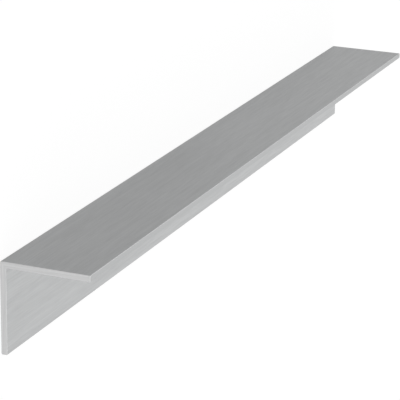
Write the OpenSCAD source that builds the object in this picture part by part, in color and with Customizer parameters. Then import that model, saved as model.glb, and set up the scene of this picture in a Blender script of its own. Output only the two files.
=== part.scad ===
// Equal-leg angle profile: one extruded length of aluminium stock, L-shaped in section.
// It lies on one leg with the other leg standing up. All sizes are in millimetres, +Z is up and
// the length runs along Y. The origin is the middle of the face that the profile lies on.

/* [Section] */
// Width of the leg that lies flat, from the heel to its toe
flat_leg_w = 30; // [12:0.5:120]
// Height of the leg that stands up, from the heel to its toe
upright_leg_h = 30; // [12:0.5:120]
// Wall thickness of both legs
wall_t = 2; // [1.5:0.1:6]

/* [Edges] */
// Radius of the outer edge at the heel, where the two legs meet
heel_r = 0.4; // [0.1:0.05:1.4]
// Radius of the two edges along the toe of each leg
toe_r = 0.3; // [0.1:0.05:0.7]
// Radius of the fillet in the root, between the two inner faces
root_r = 0.5; // [0.1:0.1:4]

/* [Length] */
// Length between the two sawn ends
length = 300; // [20:5:3000]

/* [Hidden] */
$fn = 64;

// Corner points of the toes, each with the turn that points a rounding into the metal
toe_corners = [
    [[flat_leg_w, 0], 90],
    [[flat_leg_w, wall_t], 180],
    [[wall_t, upright_leg_h], 180],
    [[0, upright_leg_h], 270]
];

// What lies between a square corner at the origin and the arc that touches both of its sides
module corner_sliver(r) {
    difference() {
        square(r);
        translate([r, r]) circle(r);
    }
}

// Two legs that share the heel, square on every edge but for the fillet in the root
module square_section() {
    square([flat_leg_w, wall_t]);
    square([wall_t, upright_leg_h]);
    translate([wall_t, wall_t]) corner_sliver(root_r);
}

// The section as it leaves the die, with the heel at the origin and every outer edge rounded
module section() {
    difference() {
        square_section();
        corner_sliver(heel_r);
        for (corner = toe_corners)
            translate(corner[0]) rotate(corner[1]) corner_sliver(toe_r);
    }
}

// The whole length, cut square at both ends and centred over its flat leg
module angle_profile() {
    color("silver")
        rotate([90, 0, 0])
            linear_extrude(height = length, center = true)
                translate([-flat_leg_w / 2, 0]) section();
}

angle_profile();
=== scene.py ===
"""Dresses one length of extruded aluminium angle: its section, its finishes and a plain studio."""

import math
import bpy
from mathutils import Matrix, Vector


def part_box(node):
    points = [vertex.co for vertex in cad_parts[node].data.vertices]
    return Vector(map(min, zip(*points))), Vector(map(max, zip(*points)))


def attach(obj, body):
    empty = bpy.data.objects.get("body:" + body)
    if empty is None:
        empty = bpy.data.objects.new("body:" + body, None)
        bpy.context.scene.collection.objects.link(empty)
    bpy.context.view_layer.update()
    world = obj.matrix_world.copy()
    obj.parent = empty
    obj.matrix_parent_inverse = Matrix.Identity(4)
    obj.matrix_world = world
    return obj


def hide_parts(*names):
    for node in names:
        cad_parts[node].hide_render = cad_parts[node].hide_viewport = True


bl_info = {
    "name": "Aluminium Angle Stock",
    "version": (1, 0, 0),
    "blender": (4, 5, 0),
    "location": "View3D > Sidebar > Angle Stock",
    "description": "Makes a length of brushed aluminium angle and the studio that shows it",
    "category": "Object",
}

import bpy
from bpy.props import FloatProperty, FloatVectorProperty, IntProperty, PointerProperty
from mathutils import Matrix, Vector

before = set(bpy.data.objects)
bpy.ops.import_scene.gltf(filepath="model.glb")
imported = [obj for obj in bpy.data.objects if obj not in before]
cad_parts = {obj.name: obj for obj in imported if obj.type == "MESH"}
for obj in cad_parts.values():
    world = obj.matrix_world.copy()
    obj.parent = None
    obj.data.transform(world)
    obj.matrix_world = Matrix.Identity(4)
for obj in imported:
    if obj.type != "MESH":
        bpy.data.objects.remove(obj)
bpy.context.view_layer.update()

NODE = "angle_profile"
BODY = "root"
MM = 0.001

LOW, HIGH = (Vector(corner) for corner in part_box(NODE))
SPAN = HIGH - LOW


# Settings


def length_property(name, description, metres):
    """A length, kept in metres."""
    return FloatProperty(
        name=name, description=description, default=metres, min=0.0, precision=6, unit="LENGTH"
    )


def share_property(name, description, default):
    """A plain number from 0 to 1."""
    return FloatProperty(
        name=name, description=description, default=default, min=0.0, max=1.0, subtype="FACTOR"
    )


def strength_property(name, description, default):
    """The strength of a light, where 1 on all sides shows a colour as it is written."""
    return FloatProperty(name=name, description=description, default=default, min=0.0)


def angle_property(name, description, degrees):
    """An angle, given here in degrees."""
    return FloatProperty(
        name=name, description=description, default=math.radians(degrees), subtype="ANGLE"
    )


def colour_property(name, description, default):
    """A colour in linear light."""
    return FloatVectorProperty(
        name=name, description=description, default=default, size=3, min=0.0, max=1.0, subtype="COLOR"
    )


class AngleSizes(bpy.types.PropertyGroup):
    """The extruded section, its length, the fine relief that the die leaves and the filed edge of each end.
    """

    leg_width: length_property("Flat leg", "Width of the leg that lies flat", SPAN.x)
    leg_height: length_property("Upright leg", "Height of the leg that stands up", SPAN.z)
    length: length_property("Length", "Length between the sawn ends", SPAN.y)
    wall: length_property("Wall", "Thickness of both legs", 2.0 * MM)
    heel_radius: length_property("Heel radius", "Radius of the outer edge between the legs", 0.4 * MM)
    toe_radius: length_property("Toe radius", "Radius of the edges along both toes", 0.3 * MM)
    root_radius: length_property("Root radius", "Radius of the fillet between the legs", 0.5 * MM)
    arc_points: IntProperty(
        name="Arc points", description="Points along each rounded edge", default=7, min=2, max=24
    )
    die_line_pitch: length_property("Die line pitch", "Mean distance between die lines", 0.5 * MM)
    die_line_depth: length_property("Die line depth", "Depth of the deepest die line", 0.004 * MM)
    end_chamfer: length_property("End chamfer", "Filed edge around each sawn end", 0.06 * MM)


class AluminiumFinish(bpy.types.PropertyGroup):
    """The look of the brushed faces and of the sawn ends."""

    face_light: colour_property("Face", "Metal between the brush marks", (0.594, 0.602, 0.605))
    face_dark: colour_property("Brush marks", "Metal in the brush marks", (0.516, 0.523, 0.526))
    face_roughness: share_property("Face roughness", "Roughness between the brush marks", 0.37)
    mark_roughness: share_property("Mark roughness", "Roughness in the brush marks", 0.41)
    mark_depth: length_property("Mark depth", "Depth of the brush marks", 0.003 * MM)
    anisotropy: share_property("Anisotropy", "How far the brush marks stretch a highlight", 0.5)
    broad_spacing: length_property("Broad spacing", "Distance between broad brush marks", 1.5 * MM)
    broad_run: length_property("Broad run", "Length of a broad brush mark", 45.0 * MM)
    fine_spacing: length_property("Fine spacing", "Distance between fine brush marks", 0.5 * MM)
    fine_run: length_property("Fine run", "Length of a fine brush mark", 11.25 * MM)
    # The toes' darker colour is painted shade; their higher roughness is their finish.
    toe_brushing_and_shade: share_property("Toe brushing", "Share of the brushing that reaches the toes", 0.1)
    # The ends' colours are lighter than the faces' partly as bare sawn metal and partly as painted light
    # that makes the ends render bright.
    end_with_painted_light: colour_property("Sawn end", "Metal between the end marks", (0.895, 0.897, 0.898))
    end_marks_with_painted_light: colour_property("End marks", "Metal in the end marks", (0.810, 0.812, 0.813))
    end_roughness: share_property("End roughness", "Roughness between the end marks", 0.62)
    rub_roughness: share_property("Rub roughness", "Roughness in the end marks", 0.68)
    rub_depth: length_property("Rub depth", "Depth of the end marks", 0.005 * MM)
    rub_spacing: length_property("Rub spacing", "Distance between the end marks", 0.6 * MM)
    rub_run: length_property("Rub run", "Length of an end mark", 25.0 * MM)


class StudioSettings(bpy.types.PropertyGroup):
    """The camera, the lamps and the floor."""

    azimuth: angle_property("Azimuth", "Turn of the camera from looking along +Y", -19.541)
    elevation: angle_property("Elevation", "Angle of the camera above the floor", 21.449)
    roll: angle_property("Roll", "Turn of the camera about its line of sight", 98.281)
    aim: FloatVectorProperty(
        name="Aim",
        description="Point on the floor in the middle of the picture",
        default=(11.54 * MM, 4.29 * MM, 0.0),
        size=3,
        subtype="TRANSLATION",
        unit="LENGTH",
    )
    distance: length_property("Distance", "From the camera to the point that it aims at", 739.19 * MM)
    lens: FloatProperty(
        name="Lens", description="Focal length on a 36 mm sensor", default=179.88, min=10.0, unit="CAMERA"
    )
    world_light: strength_property("World light", "Even light from all round", 0.6)
    world_mirrored: share_property("World mirrored", "How white the world is in the metal", 0.32)
    overhead_light: strength_property("Overhead light", "Brightness of the softbox above", 0.7)
    back_light: strength_property("Back light", "Brightness of the softbox behind", 0.2)
    side_light: strength_property("Side light", "Brightness of the softboxes on both sides", 0.6)
    front_light: strength_property("Front light", "Brightness of the softbox in front", 0.95)
    floor_colour: colour_property("Floor", "Colour of the pale floor", (0.5, 0.5, 0.5))
    floor_white: strength_property("Floor white", "White that the camera sees on the floor", 1.27)
    floor_cover: share_property("Floor cover", "Share of the floor's look that the white makes", 0.7)
    floor_mirrored: share_property("Floor mirrored", "Share of that white that the metal shows", 0.495)


# Node trees


class NodeBuilder:
    """Adds nodes to one tree, with each input given as a value or as another node's output."""

    def __init__(self, tree):
        self.tree = tree

    def feed(self, socket, value):
        """Links an output to a socket, or sets the socket to a value."""
        if isinstance(value, bpy.types.NodeSocket):
            self.tree.links.new(value, socket)
        else:
            socket.default_value = value

    def add(self, kind, inputs=None, **settings):
        """A new node with its settings and inputs."""
        made = self.tree.nodes.new(kind)
        for name, value in settings.items():
            setattr(made, name, value)
        for key, value in (inputs or {}).items():
            self.feed(made.inputs[key], value)
        return made

    def result(self, kind, inputs=None, **settings):
        """The first output of a new node."""
        return self.add(kind, inputs, **settings).outputs[0]

    def maths(self, operation, a, b=0.0):
        """One step of arithmetic on numbers."""
        return self.result("ShaderNodeMath", {0: a, 1: b}, operation=operation)

    def ranged(self, value, low, high, most=1.0):
        """A number from 0 to its most, turned into one from low to high."""
        turning = {"Value": value, "From Max": most, "To Min": low, "To Max": high}
        return self.result("ShaderNodeMapRange", turning)

    def combined(self, x, y, z=0.0):
        """A vector from its numbers."""
        return self.result("ShaderNodeCombineXYZ", {"X": x, "Y": y, "Z": z})

    def separated(self, vector):
        """The numbers of a vector, by axis."""
        return self.add("ShaderNodeSeparateXYZ", {0: vector}).outputs

    def vector_maths(self, operation, a, b):
        """One step of arithmetic on vectors."""
        return self.result("ShaderNodeVectorMath", {0: a, 1: b}, operation=operation)

    def scaled(self, vector, by):
        """A vector times a number."""
        return self.result("ShaderNodeVectorMath", {0: vector, "Scale": by}, operation="SCALE")

    def blended(self, share, first, second):
        """A colour between two, by a share from 0 to 1."""
        mix = self.add("ShaderNodeMix", data_type="RGBA")
        sockets = {socket.identifier: socket for socket in (*mix.inputs, *mix.outputs)}
        self.feed(sockets["Factor_Float"], share)
        self.feed(sockets["A_Color"], first)
        self.feed(sockets["B_Color"], second)
        return sockets["Result_Color"]


def add_socket(tree, name, kind, way="INPUT"):
    """A named socket on a node group's interface."""
    return tree.interface.new_socket(name=name, in_out=way, socket_type="NodeSocket" + kind)


class AngleTree(NodeBuilder):
    """Geometry nodes that sweep the angle's section along its length."""

    LENGTHS = (
        "Leg Width",
        "Leg Height",
        "Length",
        "Wall",
        "Heel Radius",
        "Toe Radius",
        "Root Radius",
        "Die Line Pitch",
        "Die Line Depth",
        "End Chamfer",
    )
    COUNT = "Arc Points"
    FACE_FINISH = "Face Material"
    END_FINISH = "End Material"

    # Values that are stored on the points while the tree needs them
    OUTWARD = "outward"
    GIRTH = "girth"
    RUN = "run"

    # The flat map that a bake of the finishes can use. The shares of its square are the width of the
    # unrolled faces and of the ends, the heights of the four rings along the length, and the heights of the
    # two ends, which lie one above the other.
    MAP = "OFBake"
    MAP_FACES = (0.005, 0.8)
    MAP_ENDS = (0.815, 0.995)
    MAP_RINGS = (0.005, 0.02, 0.98, 0.995)
    MAP_BACK_END = (0.005, 0.49)
    MAP_FRONT_END = (0.51, 0.995)

    # A corner that lies this share of the girth behind its face's middle has come round to the start
    ROUND_AGAIN = 0.25
    # How far a face looks along the length, from 0 to 1: past the first it is an end, and past the second
    # it is an end or its filed edge
    END_FACING = 0.9
    SAWN_FACING = 0.5
    # An edge that turns by more than this is shaded as crisp
    CRISP_TURN = math.radians(30.0)

    def __init__(self):
        super().__init__(bpy.data.node_groups.new("Swept angle", "GeometryNodeTree"))
        add_socket(self.tree, "Geometry", "Geometry", "OUTPUT")
        for name in self.LENGTHS:
            add_socket(self.tree, name, "Float")
        add_socket(self.tree, self.COUNT, "Int")
        for name in (self.FACE_FINISH, self.END_FINISH):
            add_socket(self.tree, name, "Material")
        self.given = self.add("NodeGroupInput").outputs
        half = self.maths("MULTIPLY", self.given["Length"], 0.5)
        inner = self.maths("SUBTRACT", half, self.given["End Chamfer"])
        outline = self.with_die_lines(self.in_short_steps(self.section()))
        mesh = self.chamfered(self.swept(outline, half, inner), inner)
        mesh = self.with_crisp_edges(self.placed(self.mapped(mesh)))
        self.add("NodeGroupOutput", {"Geometry": self.with_materials(mesh)})

    def stored(self, geometry, name, value, kind, domain="POINT"):
        """The geometry with a named value kept on it."""
        storing = {"Geometry": geometry, "Name": name, "Value": value}
        return self.result("GeometryNodeStoreNamedAttribute", storing, data_type=kind, domain=domain)

    def recalled(self, name, kind):
        """A field that reads a stored value."""
        return self.result("GeometryNodeInputNamedAttribute", {"Name": name}, data_type=kind)

    def of_face(self, value):
        """A number averaged over each face."""
        return self.result("GeometryNodeFieldOnDomain", {0: value}, data_type="FLOAT", domain="FACE")

    def either(self, kind, test, yes, no):
        """One of two values, by a test."""
        choice = {"Switch": test, "True": yes, "False": no}
        return self.result("GeometryNodeSwitch", choice, input_type=kind)

    def by_index(self, kind, values):
        """A field that takes each value in turn, by the point's index."""
        index = self.result("GeometryNodeInputIndex")
        chosen = self.add("GeometryNodeIndexSwitch", {"Index": index}, data_type=kind)
        while len(chosen.index_switch_items) < len(values):
            chosen.index_switch_items.new()
        for place, value in enumerate(values):
            self.feed(chosen.inputs[place + 1], value)
        return chosen.outputs[0]

    def curve_through(self, points):
        """A curve of straight pieces through the points."""
        dots = {"Count": len(points), "Position": self.by_index("VECTOR", points)}
        return self.result("GeometryNodePointsToCurves", {0: self.result("GeometryNodePoints", dots)})

    def section(self):
        """The closed outline of the section, with its heel at the origin and every edge rounded."""
        width, height, wall = (self.given[name] for name in ("Leg Width", "Leg Height", "Wall"))
        heel, toe, root = (self.given[name + " Radius"] for name in ("Heel", "Toe", "Root"))
        corners = [
            (self.combined(0.0, 0.0), heel),
            (self.combined(width, 0.0), toe),
            (self.combined(width, wall), toe),
            (self.combined(wall, wall), root),
            (self.combined(wall, height), toe),
            (self.combined(0.0, height), toe),
        ]
        sharp = self.curve_through([place for place, radius in corners])
        closed = self.result("GeometryNodeSetSplineCyclic", {0: sharp, "Cyclic": True})
        radius = self.by_index("FLOAT", [radius for place, radius in corners])
        rounding = {"Curve": closed, "Radius": radius, "Count": self.given[self.COUNT]}
        return self.result("GeometryNodeFilletCurve", rounding, mode="POLY")

    def in_short_steps(self, outline):
        """The outline with points added along its straight stretches, two to a die line."""
        place = self.result("GeometryNodeInputPosition")
        following = self.add("GeometryNodeOffsetPointInCurve", {"Offset": 1}).outputs["Point Index"]
        ahead = {"Value": place, "Index": following}
        next_place = self.result("GeometryNodeFieldAtIndex", ahead, data_type="FLOAT_VECTOR")
        between = self.add("ShaderNodeVectorMath", {0: place, 1: next_place}, operation="DISTANCE")
        half_pitch = self.maths("MULTIPLY", self.given["Die Line Pitch"], 0.5)
        cuts = self.maths("FLOOR", self.maths("DIVIDE", between.outputs["Value"], half_pitch))
        return self.result("GeometryNodeSubdivideCurve", {"Curve": outline, "Cuts": cuts})

    def with_die_lines(self, outline):
        """The outline pressed in by the die, with its outward direction and place on the girth stored."""
        along = self.result("GeometryNodeInputTangent")
        out = self.vector_maths("CROSS_PRODUCT", along, (0.0, 0.0, 1.0))
        girth = self.add("GeometryNodeSplineParameter").outputs
        kept = self.stored(outline, self.OUTWARD, out, "FLOAT_VECTOR")
        kept = self.stored(kept, self.GIRTH, girth["Factor"], "FLOAT")
        lines = self.maths("DIVIDE", girth["Length"], self.given["Die Line Pitch"])
        relief = self.result("ShaderNodeTexNoise", {"W": lines, "Scale": 1.0}, noise_dimensions="1D")
        return self.drawn_in(kept, self.maths("MULTIPLY", relief, self.given["Die Line Depth"]))

    def drawn_in(self, geometry, depth, selection=True):
        """Points moved into the metal."""
        out = self.recalled(self.OUTWARD, "FLOAT_VECTOR")
        inward = self.scaled(out, self.maths("MULTIPLY", depth, -1.0))
        moving = {"Geometry": geometry, "Selection": selection, "Offset": inward}
        return self.result("GeometryNodeSetPosition", moving)

    def swept(self, outline, half, inner):
        """The section swept along Z from end to end, with a ring where each end's chamfer begins."""
        back, inner_back = (self.maths("MULTIPLY", stop, -1.0) for stop in (half, inner))
        rings = [self.combined(0.0, 0.0, stop) for stop in (back, inner_back, inner, half)]
        heights = self.by_index("FLOAT", self.MAP_RINGS)
        path = self.stored(self.curve_through(rings), self.RUN, heights, "FLOAT")
        sweep = {"Curve": path, "Profile Curve": outline, "Fill Caps": True}
        return self.result("GeometryNodeCurveToMesh", sweep)

    def chamfered(self, mesh, inner):
        """The outline of each end drawn in by the chamfer."""
        place = self.separated(self.result("GeometryNodeInputPosition"))
        past = self.maths("SUBTRACT", self.maths("ABSOLUTE", place["Z"]), inner)
        half_chamfer = self.maths("MULTIPLY", self.given["End Chamfer"], 0.5)
        at_end = self.maths("GREATER_THAN", past, half_chamfer)
        return self.drawn_in(mesh, self.given["End Chamfer"], at_end)

    def mapped(self, mesh):
        """The sweep with its flat map: the faces unrolled along the girth, and the two ends beside them."""
        girth = self.recalled(self.GIRTH, "FLOAT")
        behind = self.maths("SUBTRACT", self.of_face(girth), girth)
        round_again = self.maths("GREATER_THAN", behind, self.ROUND_AGAIN)
        across = self.ranged(self.maths("ADD", girth, round_again), *self.MAP_FACES)
        unrolled = self.combined(across, self.recalled(self.RUN, "FLOAT"))

        place = self.separated(self.result("GeometryNodeInputPosition"))
        beside = self.ranged(place["X"], *self.MAP_ENDS, self.given["Leg Width"])
        back = self.ranged(place["Y"], *self.MAP_BACK_END, self.given["Leg Height"])
        front = self.ranged(place["Y"], *self.MAP_FRONT_END, self.given["Leg Height"])
        in_front = self.maths("GREATER_THAN", place["Z"], 0.0)
        cut = self.combined(beside, self.either("FLOAT", in_front, front, back))

        normal = self.separated(self.result("GeometryNodeInputNormal"))
        facing = self.of_face(self.maths("ABSOLUTE", normal["Z"]))
        is_end = self.maths("GREATER_THAN", facing, self.END_FACING)
        flat = self.either("VECTOR", is_end, cut, unrolled)
        return self.stored(mesh, self.MAP, flat, "FLOAT2", "CORNER")

    def placed(self, mesh):
        """The sweep laid along Y, centred over its flat leg, with only its flat map kept."""
        aside = self.combined(self.maths("MULTIPLY", self.given["Leg Width"], -0.5), 0.0)
        laying = {"Geometry": mesh, "Translation": aside, "Rotation": (math.pi / 2, 0.0, 0.0)}
        laid = self.result("GeometryNodeTransform", laying)
        for name in (self.OUTWARD, self.GIRTH, self.RUN):
            laid = self.result("GeometryNodeRemoveAttribute", {"Geometry": laid, "Name": name})
        return laid

    def with_crisp_edges(self, mesh):
        """Smooth shading round the arcs, broken at the chamfers of the ends."""
        faces = {0: mesh, "Shade Smooth": True}
        smooth = self.result("GeometryNodeSetShadeSmooth", faces, domain="FACE")
        turn = self.add("GeometryNodeInputMeshEdgeAngle").outputs["Unsigned Angle"]
        crisp = self.maths("GREATER_THAN", turn, self.CRISP_TURN)
        edges = {0: smooth, "Selection": crisp, "Shade Smooth": False}
        return self.result("GeometryNodeSetShadeSmooth", edges, domain="EDGE")

    def with_materials(self, mesh):
        """The brushed finish all over, then the sawn one on the ends and on their filed edges."""
        real = self.result("GeometryNodeRealizeInstances", {0: mesh})
        faces = {"Geometry": real, "Material": self.given[self.FACE_FINISH]}
        brushed = self.result("GeometryNodeSetMaterial", faces)
        normal = self.separated(self.result("GeometryNodeInputNormal"))
        facing = self.maths("ABSOLUTE", normal["Y"])
        sawn = self.maths("GREATER_THAN", facing, self.SAWN_FACING)
        ends = {"Geometry": brushed, "Selection": sawn, "Material": self.given[self.END_FINISH]}
        return self.result("GeometryNodeSetMaterial", ends)

    def plain_mesh(self, name, values):
        """A plain mesh of the tree's result, made with the given input values."""
        holder = bpy.data.objects.new(name, bpy.data.meshes.new(name))
        bpy.context.scene.collection.objects.link(holder)
        modifier = holder.modifiers.new(name, "NODES")
        modifier.node_group = self.tree
        for item in self.tree.interface.items_tree:
            if item.in_out == "INPUT":
                modifier[item.identifier] = values[item.name]
        shown = holder.evaluated_get(bpy.context.evaluated_depsgraph_get())
        made = bpy.data.meshes.new_from_object(shown)
        made.name = name
        bpy.data.objects.remove(holder)
        return made


# Materials

# How finely the marks' noise breaks up, and the part of its range that the mask is stretched from
MARK_DETAIL = 3.0
MARK_BREAKUP = 0.6
MARK_RANGE = (0.3, 0.7)


def run_marks_group():
    """Shader nodes for fine marks that run along the second axis of the vector they are given."""
    tree = bpy.data.node_groups.new("Run marks", "ShaderNodeTree")
    add_socket(tree, "Vector", "Vector")
    add_socket(tree, "Spacing", "Float")
    add_socket(tree, "Run", "Float")
    add_socket(tree, "Mask", "Float", "OUTPUT")
    nodes = NodeBuilder(tree)
    given = nodes.add("NodeGroupInput").outputs
    steps = nodes.combined(given["Spacing"], given["Run"], given["Spacing"])
    place = nodes.vector_maths("DIVIDE", given["Vector"], steps)
    breaking = {"Vector": place, "Scale": 1.0, "Detail": MARK_DETAIL, "Roughness": MARK_BREAKUP}
    noise = nodes.result("ShaderNodeTexNoise", breaking)
    stretch = {"Value": noise, "From Min": MARK_RANGE[0], "From Max": MARK_RANGE[1]}
    mask = nodes.result("ShaderNodeMapRange", stretch, interpolation_type="SMOOTHSTEP")
    nodes.add("NodeGroupOutput", {"Mask": mask})
    return tree


def new_material(name):
    """An empty material and the builder of its nodes."""
    made = bpy.data.materials.new(name)
    made.use_nodes = True
    made.node_tree.nodes.clear()
    return made, NodeBuilder(made.node_tree)


def opaque(colour):
    """A colour with full alpha."""
    return (*colour, 1.0)


def run_marks(nodes, group, place, spacing, run):
    """The mask of one set of run marks, 0 in the marks and 1 between them."""
    given = {"Vector": place, "Spacing": spacing, "Run": run}
    return nodes.result("ShaderNodeGroup", given, node_tree=group)


def measured_from_heel(nodes, place, sizes):
    """A place on the profile by axis, measured from the heel at the front end."""
    heel = (-sizes.leg_width / 2, -sizes.length / 2, 0.0)
    return nodes.separated(nodes.vector_maths("SUBTRACT", place, heel))


def brush_reach_and_toe_shade(nodes, place, sizes, finish):
    """How far the brush reaches: all of it on the broad faces, and a share of it on the toes, which gives
    the toes the darker, rougher metal of the marks; the darkening is painted shade.
    """
    from_heel = measured_from_heel(nodes, place, sizes)
    on_flat_toe = nodes.maths("SUBTRACT", from_heel["X"], sizes.leg_width - sizes.toe_radius)
    on_upright_toe = nodes.maths("SUBTRACT", from_heel["Z"], sizes.leg_height - sizes.toe_radius)
    on_toe = nodes.maths("MAXIMUM", on_flat_toe, on_upright_toe)
    return nodes.ranged(on_toe, 1.0, finish.toe_brushing_and_shade, sizes.toe_radius)


def marked_metal(nodes, mask, colours, roughness, depth, anisotropy):
    """Bare metal that marks darken, roughen and cut into.

    The colours and the roughness are pairs: in the marks, and between them.
    """
    in_marks, between = (opaque(colour) for colour in colours)
    look = {
        "Base Color": nodes.blended(mask, in_marks, between),
        "Metallic": 1.0,
        "Roughness": nodes.ranged(mask, *roughness),
        "Normal": nodes.result("ShaderNodeBump", {"Height": mask, "Distance": depth, "Strength": 1.0}),
        "Anisotropic": anisotropy,
        "Tangent": nodes.result("ShaderNodeTangent", direction_type="RADIAL", axis="Y"),
    }
    metal = nodes.result("ShaderNodeBsdfPrincipled", look)
    nodes.add("ShaderNodeOutputMaterial", {"Surface": metal})


def brushed_face(sizes, finish, group):
    """The extruded faces, brushed along the length with broad marks and fine ones, with rougher toes
    darkened as painted shade.
    """
    material, nodes = new_material("Brushed aluminium")
    place = nodes.add("ShaderNodeTexCoord").outputs["Object"]
    broad = run_marks(nodes, group, place, finish.broad_spacing, finish.broad_run)
    fine = run_marks(nodes, group, place, finish.fine_spacing, finish.fine_run)
    mean = nodes.maths("MULTIPLY", nodes.maths("ADD", broad, fine), 0.5)
    marked_metal(
        nodes,
        mask=nodes.maths("MULTIPLY", mean, brush_reach_and_toe_shade(nodes, place, sizes, finish)),
        colours=(finish.face_dark, finish.face_light),
        roughness=(finish.mark_roughness, finish.face_roughness),
        depth=finish.mark_depth,
        anisotropy=finish.anisotropy,
    )
    return material


def sawn_end(sizes, finish, group):
    """The sawn ends, rubbed down along each leg, in a colour far lighter than the faces: partly the bare
    sawn metal and partly painted light that makes the ends render bright.
    """
    material, nodes = new_material("Sawn aluminium with painted light")
    place = nodes.add("ShaderNodeTexCoord").outputs["Object"]
    from_heel = measured_from_heel(nodes, place, sizes)
    across_leg = nodes.maths("MINIMUM", from_heel["X"], from_heel["Z"])
    along_leg = nodes.maths("MAXIMUM", from_heel["X"], from_heel["Z"])
    on_legs = nodes.combined(across_leg, along_leg, from_heel["Y"])
    marked_metal(
        nodes,
        mask=run_marks(nodes, group, on_legs, finish.rub_spacing, finish.rub_run),
        colours=(finish.end_marks_with_painted_light, finish.end_with_painted_light),
        roughness=(finish.rub_roughness, finish.end_roughness),
        depth=finish.rub_depth,
        anisotropy=0.0,
    )
    return material


# Studio

# Half of the floor's side in metres, and the gap that keeps it clear of the profile
FLOOR_REACH = 8.0
FLOOR_GAP = 0.05 * MM

# Each softbox by its place and its side in metres, and the setting that holds its brightness
SOFTBOXES = {
    "Overhead softbox": ((0.0, 0.1, 1.2), 0.9, "overhead_light"),
    "Back softbox": ((0.9, 1.9, 1.2), 1.8, "back_light"),
    "Left softbox": ((-1.2, 1.8, 1.0), 1.8, "side_light"),
    "Right softbox": ((1.9, -0.3, 1.0), 1.8, "side_light"),
    "Front softbox": ((0.8, -1.8, 0.5), 1.4, "front_light"),
}

# The camera's sensor in millimetres, and the nearest that it sees in metres
SENSOR_WIDTH = 36.0
NEAREST_SEEN = 0.01


def seen_by_eye(nodes, mirrored):
    """1 for what the camera sees straight on or through glass, and a share for what metal mirrors."""
    path = nodes.add("ShaderNodeLightPath").outputs
    straight = nodes.maths("MAXIMUM", path["Is Camera Ray"], path["Is Transmission Ray"])
    return nodes.maths("MAXIMUM", straight, nodes.maths("MULTIPLY", path["Is Glossy Ray"], mirrored))


def lay_floor(scene, studio):
    """A wide pale floor that takes the shadow, mostly covered by white for the camera."""
    sides = [(-1, -1), (1, -1), (1, 1), (-1, 1)]
    corners = [(x * FLOOR_REACH, y * FLOOR_REACH, -FLOOR_GAP) for x, y in sides]
    mesh = bpy.data.meshes.new("floor")
    mesh.from_pydata(corners, [], [range(len(corners))])
    floor = bpy.data.objects.new("floor", mesh)
    scene.collection.objects.link(floor)

    material, nodes = new_material("Pale floor")
    pale = nodes.result("ShaderNodeBsdfDiffuse", {"Color": opaque(studio.floor_colour)})
    glow = nodes.maths("MULTIPLY", seen_by_eye(nodes, studio.floor_mirrored), studio.floor_white)
    white = nodes.result("ShaderNodeEmission", {"Strength": glow})
    cover = nodes.maths("MULTIPLY", seen_by_eye(nodes, 1.0), studio.floor_cover)
    look = nodes.result("ShaderNodeMixShader", {0: cover, 1: pale, 2: white})
    nodes.add("ShaderNodeOutputMaterial", {"Surface": look})
    mesh.materials.append(material)


def light_world(scene, studio):
    """Even light from all round, and white behind everything for the camera."""
    world = bpy.data.worlds.new("Studio")
    world.use_nodes = True
    world.node_tree.nodes.clear()
    nodes = NodeBuilder(world.node_tree)
    strength = nodes.ranged(seen_by_eye(nodes, studio.world_mirrored), studio.world_light, 1.0)
    white = opaque((1.0, 1.0, 1.0))
    light = nodes.result("ShaderNodeBackground", {"Color": white, "Strength": strength})
    nodes.add("ShaderNodeOutputWorld", {"Surface": light})
    scene.world = world


def hang_softboxes(scene, studio):
    """Square softboxes that face the object, their power worked out from how bright their faces are."""
    for name, (place, side, setting) in SOFTBOXES.items():
        lamp = bpy.data.lights.new(name, "AREA")
        lamp.shape = "SQUARE"
        lamp.size = side
        lamp.energy = getattr(studio, setting) * math.pi * side**2
        softbox = bpy.data.objects.new(name, lamp)
        turn = Vector(place).to_track_quat("Z", "Y").to_matrix().to_4x4()
        softbox.matrix_world = Matrix.Translation(place) @ turn
        softbox.visible_camera = False
        scene.collection.objects.link(softbox)


def set_camera(scene, studio):
    """The camera at the end of its line of sight, rolled so that the upright leg's back faces up."""
    lens = bpy.data.cameras.new("Camera")
    lens.sensor_fit = "HORIZONTAL"
    lens.sensor_width = SENSOR_WIDTH
    lens.lens = studio.lens
    lens.clip_start = NEAREST_SEEN
    turn = (
        Matrix.Rotation(studio.azimuth, 4, "Z")
        @ Matrix.Rotation(math.pi / 2 - studio.elevation, 4, "X")
        @ Matrix.Rotation(studio.roll, 4, "Z")
    )
    back = Matrix.Translation((0.0, 0.0, studio.distance))
    camera = bpy.data.objects.new("Camera", lens)
    camera.matrix_world = Matrix.Translation(studio.aim) @ turn @ back
    scene.collection.objects.link(camera)
    scene.camera = camera


# Operators and panel


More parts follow.
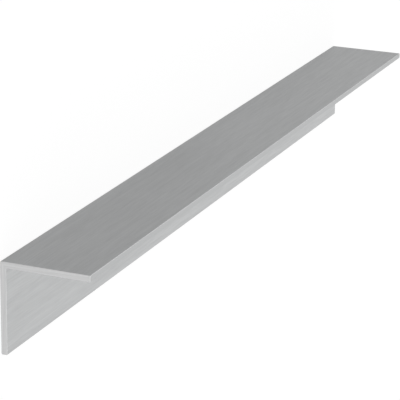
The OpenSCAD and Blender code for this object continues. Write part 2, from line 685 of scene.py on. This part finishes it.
class ANGLE_STOCK_OT_profile(bpy.types.Operator):
    """Make the length of angle and give it its brushed and sawn finishes"""

    bl_idname = "angle_stock.profile"
    bl_label = "Angle Profile"

    def execute(self, context):
        sizes, finish = context.scene.angle_sizes, context.scene.angle_finish
        marks = run_marks_group()
        tree = AngleTree()
        names = (*tree.LENGTHS, tree.COUNT)
        values = {name: getattr(sizes, name.lower().replace(" ", "_")) for name in names}
        values[tree.FACE_FINISH] = brushed_face(sizes, finish, marks)
        values[tree.END_FINISH] = sawn_end(sizes, finish, marks)
        profile = bpy.data.objects.new("brushed_angle", tree.plain_mesh("brushed_angle", values))
        context.scene.collection.objects.link(profile)
        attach(profile, BODY)
        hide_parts(NODE)
        return {"FINISHED"}


class ANGLE_STOCK_OT_studio(bpy.types.Operator):
    """Lay the floor, hang the lamps and set the camera"""

    bl_idname = "angle_stock.studio"
    bl_label = "Studio"

    def execute(self, context):
        scene, studio = context.scene, context.scene.angle_studio
        lay_floor(scene, studio)
        light_world(scene, studio)
        hang_softboxes(scene, studio)
        set_camera(scene, studio)
        scene.view_settings.view_transform = "Standard"
        return {"FINISHED"}


class ANGLE_STOCK_PT_sidebar(bpy.types.Panel):
    """Lists the sizes, the finish and the studio, with the operators that use them"""

    bl_idname = "ANGLE_STOCK_PT_sidebar"
    bl_label = "Angle Stock"
    bl_space_type = "VIEW_3D"
    bl_region_type = "UI"
    bl_category = "Angle Stock"

    def draw(self, context):
        scene = context.scene
        for groups, operator in (
            ((scene.angle_sizes, scene.angle_finish), ANGLE_STOCK_OT_profile),
            ((scene.angle_studio,), ANGLE_STOCK_OT_studio),
        ):
            for group in groups:
                box = self.layout.box()
                for name in group.__annotations__:
                    box.prop(group, name)
            self.layout.operator(operator.bl_idname)


SCENE_SETTINGS = {
    "angle_sizes": AngleSizes,
    "angle_finish": AluminiumFinish,
    "angle_studio": StudioSettings,
}
CLASSES = (
    *SCENE_SETTINGS.values(),
    ANGLE_STOCK_OT_profile,
    ANGLE_STOCK_OT_studio,
    ANGLE_STOCK_PT_sidebar,
)


def register():
    """Adds the classes, and the settings to every scene."""
    for kind in CLASSES:
        bpy.utils.register_class(kind)
    for name, kind in SCENE_SETTINGS.items():
        setattr(bpy.types.Scene, name, PointerProperty(type=kind))


def unregister():
    """Takes the settings and the classes out again."""
    for name in SCENE_SETTINGS:
        delattr(bpy.types.Scene, name)
    for kind in reversed(CLASSES):
        bpy.utils.unregister_class(kind)


def main():
    """Makes the studio and the profile."""
    register()
    bpy.ops.angle_stock.studio()
    bpy.ops.angle_stock.profile()


if __name__ == "__main__":
    main()
